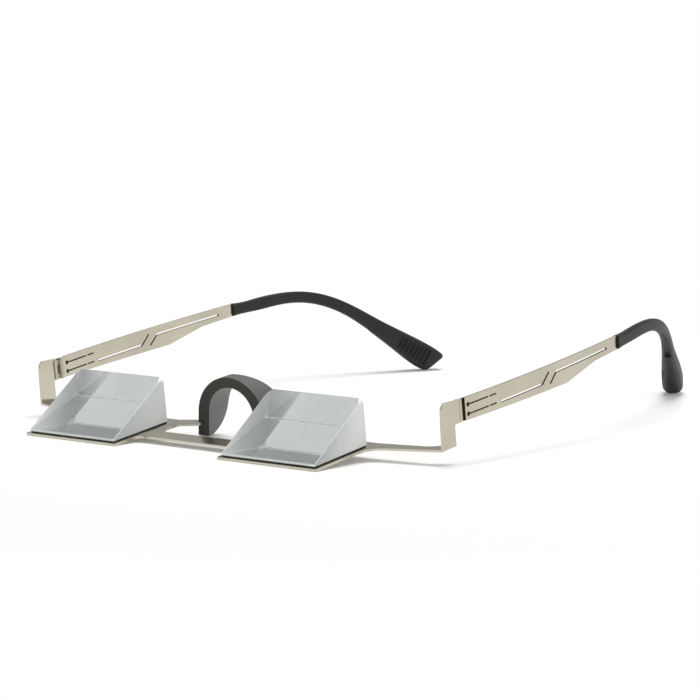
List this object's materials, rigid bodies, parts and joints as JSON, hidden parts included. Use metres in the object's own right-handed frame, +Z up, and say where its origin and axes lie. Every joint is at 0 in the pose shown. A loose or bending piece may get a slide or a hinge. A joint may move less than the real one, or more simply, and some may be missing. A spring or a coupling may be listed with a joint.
{
  "type": "prism glasses",
  "caption": "Prism glasses with a folded sheet-metal front, glass wedge prisms, a rubber nose arch, and folding slotted temples with curved rubber tips.",
  "frame": {"origin": "middle of the footprint, on the surface the glasses stand on", "axes": "+X to the wearer's left, +Y from the prisms back to the temple tips, +Z up; the wearer looks along -Y"},
  "size_m": [0.1422, 0.1841, 0.0277],
  "materials": {
    "sheet_steel": "warm satin nickel plate with a fine vertical brush",
    "hinge_steel": "satin",
    "prism_glass": "polished optical faces, fine ground bevels",
    "mirror_coat": "silvered, with a black back",
    "black_adhesive": "matt black adhesive sheet",
    "tip_rubber": "matt dark grey, ribbed inside",
    "saddle_rubber": "satin dark grey"
  },
  "bodies": {
    "front": {"front_frame": "sheet_steel", "nose_saddle": "saddle_rubber", "prism_left": "prism_glass", "prism_right": "prism_glass", "mirror_coat_left": "mirror_coat", "mirror_coat_right": "mirror_coat", "adhesive_pad_left": "black_adhesive", "adhesive_pad_right": "black_adhesive", "hinge_fixed_knuckles_left": "hinge_steel", "hinge_fixed_knuckles_right": "hinge_steel", "hinge_pin_left": "hinge_steel", "hinge_pin_right": "hinge_steel"},
    "left_temple": {"temple_left": "sheet_steel", "temple_tip_left": "tip_rubber", "hinge_moving_knuckle_left": "hinge_steel"},
    "right_temple": {"temple_right": "sheet_steel", "temple_tip_right": "tip_rubber", "hinge_moving_knuckle_right": "hinge_steel"}
  },
  "joints": [
    {"name": "left_temple_fold", "type": "hinge", "parent": "front", "child": "left_temple", "pos_m": [0.06885, -0.05826, 0.0133], "axis": [0, -0.1314, 0.9913], "range_deg": [0, 86]},
    {"name": "right_temple_fold", "type": "hinge", "parent": "front", "child": "right_temple", "pos_m": [-0.06885, -0.05826, 0.0133], "axis": [0, 0.1314, -0.9913], "range_deg": [0, 82]}
  ]
}
